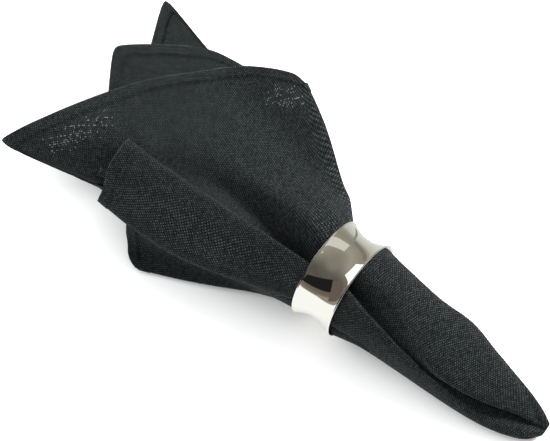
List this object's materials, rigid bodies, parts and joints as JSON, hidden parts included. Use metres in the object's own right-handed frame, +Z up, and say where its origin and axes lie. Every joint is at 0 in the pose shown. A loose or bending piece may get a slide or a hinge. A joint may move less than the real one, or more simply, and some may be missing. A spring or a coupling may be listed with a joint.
{
  "type": "napkin in a ring",
  "caption": "Square hemmed cloth napkin, gathered at its middle and drawn through a waisted metal ring, its corners fanned out in soft overlapping folds.",
  "frame": {"origin": "middle of the bounding box, on the surface that the napkin lies on", "axes": "+X along the ring's axis towards the gathered tail, +Z up"},
  "size_m": [0.2836, 0.1212, 0.05],
  "materials": {
    "cloth": "coarse plain weave, charcoal, matt",
    "polished_metal": "mirror polished, silver coloured"
  },
  "bodies": {
    "root": {"napkin": "cloth", "ring": "polished_metal"}
  },
  "joints": []
}
